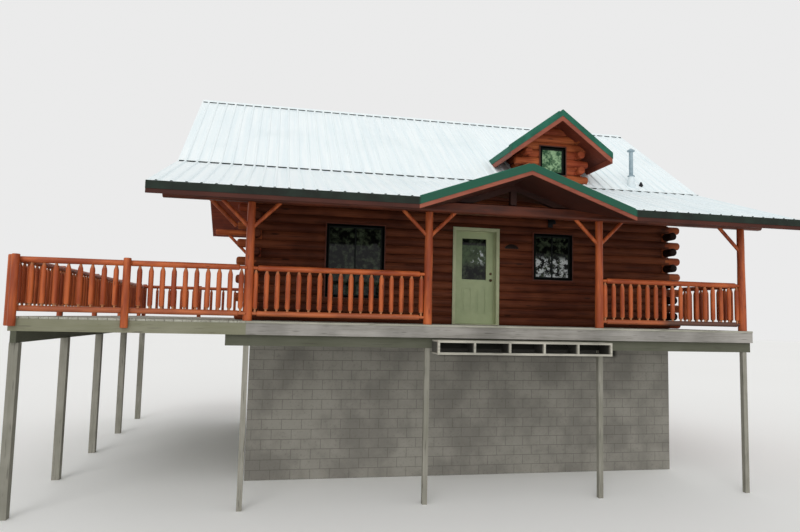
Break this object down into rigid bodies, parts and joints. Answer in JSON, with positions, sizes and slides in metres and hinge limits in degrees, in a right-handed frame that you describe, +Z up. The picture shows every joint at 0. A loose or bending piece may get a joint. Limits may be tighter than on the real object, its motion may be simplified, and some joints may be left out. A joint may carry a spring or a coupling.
{
  "type": "log cabin",
  "caption": "Log cabin with interlocking log walls, a metal gable roof, an entry gable, a dormer, a railed front porch and a raised side deck on tall posts.",
  "frame": {"origin": "bottom centre of the box round the whole cabin, on the ground at its lowest point", "axes": "+X to the right along the front, the longest extent; +Y from the front porch to the rear; +Z up"},
  "size_m": [14.201, 11.013, 8.917],
  "materials": {
    "log_stain": "stained, satin",
    "peeled_log": "stained, satin",
    "red_board": "stained, satin",
    "weathered_board": "bare, grey and dry",
    "floor_board": "satin",
    "concrete_block": "rough",
    "roof_metal": "satin",
    "green_trim": "satin",
    "window_frame": "satin",
    "door_paint": "satin",
    "door_trim": "painted, satin",
    "glass": "clear",
    "brass": "worn",
    "flue_metal": "dull",
    "dark_metal": "satin"
  },
  "bodies": {
    "house": {"foundation": "concrete_block", "main_floor": "floor_board", "front_wall_left": "log_stain", "front_wall_right": "log_stain", "front_wall_head": "log_stain", "rear_wall": "log_stain", "left_wall": "log_stain", "right_wall": "log_stain", "ridge_beam": "log_stain", "main_roof_front": "red_board", "main_roof_rear": "red_board", "porch_roof_left": "red_board", "porch_roof_right": "red_board", "entry_roof": "red_board", "dormer_roof": "red_board", "main_roof_metal": "roof_metal", "porch_roof_metal": "roof_metal", "dormer_roof_metal": "roof_metal", "ridge_cap": "roof_metal", "eave_fascia": "red_board", "entry_fascia": "red_board", "rake_boards": "red_board", "eave_trim": "green_trim", "rake_trim": "green_trim", "dormer_front_wall": "log_stain", "dormer_side_walls": "log_stain", "dormer_fascia": "red_board", "dormer_trim": "green_trim", "front_windows": "window_frame", "dormer_window": "window_frame", "side_windows": "window_frame", "rear_windows": "window_frame", "window_glass": "glass", "door_frame": "door_trim", "frame_hinges": "brass", "porch_deck": "weathered_board", "porch_frame": "weathered_board", "side_deck": "weathered_board", "side_deck_frame": "weathered_board", "girders": "weathered_board", "support_posts": "weathered_board", "porch_posts": "peeled_log", "porch_beam": "peeled_log", "porch_braces": "peeled_log", "overhang_braces": "peeled_log", "entry_truss": "log_stain", "porch_railing_left": "peeled_log", "porch_railing_right": "peeled_log", "porch_railing_end": "peeled_log", "deck_railing_front": "peeled_log", "deck_railing_side": "peeled_log", "deck_railing_rear": "peeled_log", "deck_rail_posts": "peeled_log", "entry_steps": "weathered_board", "flue": "flue_metal", "roof_vent": "dark_metal", "wall_lamp": "dark_metal"},
    "door": {"door": "door_paint", "door_glass": "glass", "door_hardware": "brass"}
  },
  "joints": [
    {"name": "front_door_hinge", "type": "hinge", "parent": "house", "child": "door", "pos_m": [1.017, -2.4485, 4.2], "axis": [0, 0, 1], "range_deg": [0, 90]}
  ]
}
